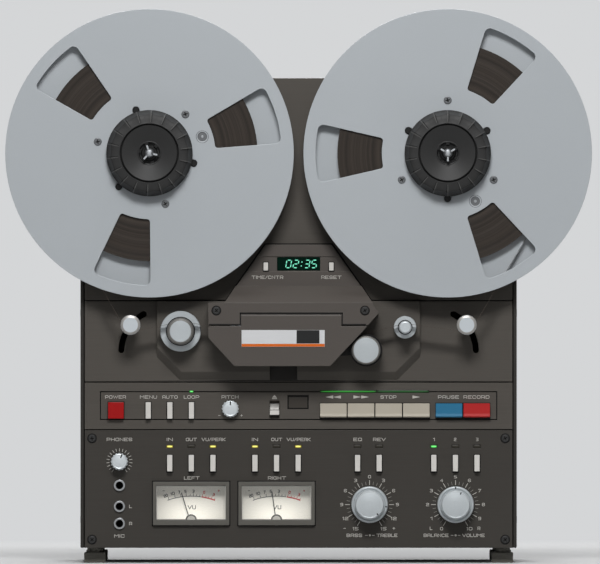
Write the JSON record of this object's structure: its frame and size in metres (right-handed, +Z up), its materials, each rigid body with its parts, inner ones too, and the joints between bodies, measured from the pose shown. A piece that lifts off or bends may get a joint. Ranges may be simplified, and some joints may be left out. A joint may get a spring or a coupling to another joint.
{
  "type": "reel-to-reel tape recorder",
  "caption": "Upright reel-to-reel tape recorder with large open metal reels, sprung tape guides, hinged head cover, transport keys, level meters and amplifier controls.",
  "frame": {"origin": "centre of the bounding box in X and Y, on the plane the feet stand on", "axes": "+X to the right seen from the front, +Y from the front panels to the rear, +Z up"},
  "size_m": [0.5422, 0.256, 0.5125],
  "materials": {
    "cabinet": "satin dark grey paint",
    "rear_cover": "satin near-black paint",
    "frame": "black primer",
    "deck_panel": "fine satin charcoal",
    "amplifier_panel": "fine satin charcoal, darker",
    "bezel": "satin grey frame",
    "dial": "cream dial",
    "display": "dark green window",
    "lamp": "coloured lens",
    "steel": "turned",
    "black_screw": "black oxide",
    "foot": "matte",
    "motor": "dull",
    "rubber": "matte black",
    "board": "green laminate",
    "tape": "smooth brown",
    "chrome": "polished",
    "brass": "turned",
    "reel": "fine brushed",
    "adapter": "satin black",
    "beige_key": "satin beige",
    "slim_button": "satin light grey",
    "blue_key": "satin blue",
    "red_key": "satin red",
    "knob": "fine turned",
    "needle": "black"
  },
  "bodies": {
    "deck": {"cabinet_shell": "cabinet", "rear_cover": "rear_cover", "chassis_frame": "frame", "reel_deck_panel": "deck_panel", "transport_panel": "deck_panel", "head_housing": "deck_panel", "control_panel": "deck_panel", "amplifier_panel": "amplifier_panel", "meter_bezels": "bezel", "meter_dials": "dial", "counter_display": "display", "indicator_lamps": "lamp", "jack_sockets": "steel", "panel_screws": "black_screw", "feet": "foot", "tape_heads": "steel", "drive_motors": "motor", "drive_belt": "rubber", "circuit_boards": "board", "tape_run": "tape"},
    "supply_reel": {"supply_reel_flanges": "reel", "supply_reel_hub": "reel", "supply_tape_pack": "tape", "supply_spindle": "steel", "supply_hub_adapter": "adapter"},
    "takeup_reel": {"takeup_reel_flanges": "reel", "takeup_reel_hub": "reel", "takeup_tape_pack": "tape", "takeup_spindle": "steel", "takeup_hub_adapter": "adapter"},
    "supply_arm": {"supply_tension_arm": "chrome"},
    "takeup_arm": {"takeup_tension_arm": "chrome"},
    "impedance_roller": {"impedance_roller": "chrome"},
    "counter_roller": {"counter_roller": "chrome"},
    "capstan": {"capstan_flywheel": "steel"},
    "motor_pulley": {"motor_pulley": "brass"},
    "pinch_arm": {"pinch_arm": "steel"},
    "pinch_roller": {"pinch_roller": "rubber"},
    "head_cover": {"head_cover": "deck_panel"},
    "power_button": {"power_button": "red_key"},
    "rewind_key": {"rewind_key": "beige_key"},
    "fast_forward_key": {"fast_forward_key": "beige_key"},
    "stop_key": {"stop_key": "beige_key"},
    "play_key": {"play_key": "beige_key"},
    "pause_key": {"pause_key": "blue_key"},
    "record_key": {"record_key": "red_key"},
    "counter_buttons": {"counter_buttons": "slim_button"},
    "mode_buttons": {"mode_buttons": "slim_button"},
    "left_channel_buttons": {"left_channel_buttons": "slim_button"},
    "right_channel_buttons": {"right_channel_buttons": "slim_button"},
    "output_buttons": {"output_buttons": "slim_button"},
    "pitch_knob": {"pitch_knob": "knob"},
    "phones_knob": {"phones_knob": "knob"},
    "bass_ring": {"bass_ring": "knob"},
    "treble_knob": {"treble_knob": "knob"},
    "balance_ring": {"balance_ring": "knob"},
    "volume_knob": {"volume_knob": "knob"},
    "left_meter_needle": {"left_meter_needle": "needle"},
    "right_meter_needle": {"right_meter_needle": "needle"},
    "slide_lever": {"slide_lever": "knob"}
  },
  "joints": [
    {"name": "supply_reel_spin", "type": "hinge", "parent": "deck", "child": "supply_reel", "pos_m": [-0.1378, -0.102, 0.3792], "axis": [0, 1, 0], "continuous": true},
    {"name": "takeup_reel_spin", "type": "hinge", "parent": "deck", "child": "takeup_reel", "pos_m": [0.1378, -0.102, 0.3792], "axis": [0, 1, 0], "continuous": true},
    {"name": "supply_arm_swing", "type": "hinge", "parent": "deck", "child": "supply_arm", "pos_m": [-0.1248, -0.0725, 0.1957], "axis": [0, 1, 0], "range_deg": [-36, 22], "stiffness_Nm_per_rad": 0.4, "deforming": ["tape_run"]},
    {"name": "takeup_arm_swing", "type": "hinge", "parent": "deck", "child": "takeup_arm", "pos_m": [0.1248, -0.0725, 0.1957], "axis": [0, 1, 0], "range_deg": [-22, 36], "stiffness_Nm_per_rad": 0.4, "deforming": ["tape_run"]},
    {"name": "impedance_roller_spin", "type": "hinge", "parent": "deck", "child": "impedance_roller", "pos_m": [-0.1092, -0.102, 0.2146], "axis": [0, 1, 0], "continuous": true},
    {"name": "counter_roller_spin", "type": "hinge", "parent": "deck", "child": "counter_roller", "pos_m": [0.0985, -0.102, 0.2183], "axis": [0, 1, 0], "continuous": true},
    {"name": "capstan_spin", "type": "hinge", "parent": "deck", "child": "capstan", "pos_m": [0.05181, -0.102, 0.2137], "axis": [0, 1, 0], "continuous": true},
    {"name": "motor_pulley_spin", "type": "hinge", "parent": "deck", "child": "motor_pulley", "pos_m": [-0.02484, -0.049, 0.20632], "axis": [0, 1, 0], "continuous": true},
    {"name": "pinch_arm_swing", "type": "hinge", "parent": "deck", "child": "pinch_arm", "pos_m": [0.0264, -0.089, 0.1952], "axis": [0, 1, 0], "range_deg": [0, 18], "deforming": ["tape_run"]},
    {"name": "pinch_roller_spin", "type": "hinge", "parent": "pinch_arm", "child": "pinch_roller", "pos_m": [0.0624, -0.1, 0.1972], "axis": [0, 1, 0], "continuous": true},
    {"name": "head_cover_lift", "type": "hinge", "parent": "deck", "child": "head_cover", "pos_m": [0, -0.112, 0.2285], "axis": [-1, 0, 0], "range_deg": [0, 90]},
    {"name": "power_button_press", "type": "slide", "parent": "deck", "child": "power_button", "axis": [0, 1, 0], "range_m": [0, 0.002], "stiffness_N_per_m": 120},
    {"name": "rewind_key_press", "type": "slide", "parent": "deck", "child": "rewind_key", "axis": [0, 1, 0], "range_m": [0, 0.002], "stiffness_N_per_m": 120},
    {"name": "fast_forward_key_press", "type": "slide", "parent": "deck", "child": "fast_forward_key", "axis": [0, 1, 0], "range_m": [0, 0.002], "stiffness_N_per_m": 120},
    {"name": "stop_key_press", "type": "slide", "parent": "deck", "child": "stop_key", "axis": [0, 1, 0], "range_m": [0, 0.002], "stiffness_N_per_m": 120},
    {"name": "play_key_press", "type": "slide", "parent": "deck", "child": "play_key", "axis": [0, 1, 0], "range_m": [0, 0.002], "stiffness_N_per_m": 120},
    {"name": "pause_key_press", "type": "slide", "parent": "deck", "child": "pause_key", "axis": [0, 1, 0], "range_m": [0, 0.002], "stiffness_N_per_m": 120},
    {"name": "record_key_press", "type": "slide", "parent": "deck", "child": "record_key", "axis": [0, 1, 0], "range_m": [0, 0.002], "stiffness_N_per_m": 120},
    {"name": "counter_buttons_press", "type": "slide", "parent": "deck", "child": "counter_buttons", "axis": [0, 1, 0], "range_m": [0, 0.0015], "stiffness_N_per_m": 120},
    {"name": "mode_buttons_press", "type": "slide", "parent": "deck", "child": "mode_buttons", "axis": [0, 1, 0], "range_m": [0, 0.002], "stiffness_N_per_m": 120},
    {"name": "left_channel_buttons_press", "type": "slide", "parent": "deck", "child": "left_channel_buttons", "axis": [0, 1, 0], "range_m": [0, 0.002], "stiffness_N_per_m": 120},
    {"name": "right_channel_buttons_press", "type": "slide", "parent": "deck", "child": "right_channel_buttons", "axis": [0, 1, 0], "range_m": [0, 0.002], "stiffness_N_per_m": 120},
    {"name": "output_buttons_press", "type": "slide", "parent": "deck", "child": "output_buttons", "axis": [0, 1, 0], "range_m": [0, 0.002], "stiffness_N_per_m": 120},
    {"name": "pitch_knob_turn", "type": "hinge", "parent": "deck", "child": "pitch_knob", "pos_m": [-0.0632, -0.085, 0.1428], "axis": [0, 1, 0], "range_deg": [-140, 140]},
    {"name": "phones_knob_turn", "type": "hinge", "parent": "deck", "child": "phones_knob", "pos_m": [-0.1659, -0.085, 0.094], "axis": [0, 1, 0], "range_deg": [-170, 130]},
    {"name": "bass_ring_turn", "type": "hinge", "parent": "deck", "child": "bass_ring", "pos_m": [0.0657, -0.085, 0.0541], "axis": [0, 1, 0], "range_deg": [-247, 53]},
    {"name": "treble_knob_turn", "type": "hinge", "parent": "deck", "child": "treble_knob", "pos_m": [0.0657, -0.085, 0.0541], "axis": [0, 1, 0], "range_deg": [-290, 10]},
    {"name": "balance_ring_turn", "type": "hinge", "parent": "deck", "child": "balance_ring", "pos_m": [0.1453, -0.085, 0.0541], "axis": [0, 1, 0], "range_deg": [-150, 150]},
    {"name": "volume_knob_turn", "type": "hinge", "parent": "deck", "child": "volume_knob", "pos_m": [0.1453, -0.085, 0.0541], "axis": [0, 1, 0], "range_deg": [-174, 126]},
    {"name": "left_meter_needle_swing", "type": "hinge", "parent": "deck", "child": "left_meter_needle", "pos_m": [-0.0995, -0.0744, 0.0355], "axis": [0, 1, 0], "range_deg": [-25, 59]},
    {"name": "right_meter_needle_swing", "type": "hinge", "parent": "deck", "child": "right_meter_needle", "pos_m": [-0.0204, -0.0744, 0.0355], "axis": [0, 1, 0], "range_deg": [-34, 50]},
    {"name": "slide_lever_move", "type": "slide", "parent": "deck", "child": "slide_lever", "axis": [0, 0, 1], "range_m": [-0.0025, 0.0025]}
  ],
  "couplings": [
    {"joint": "motor_pulley_spin", "follows": "capstan_spin", "ratio": 5.7143}
  ]
}
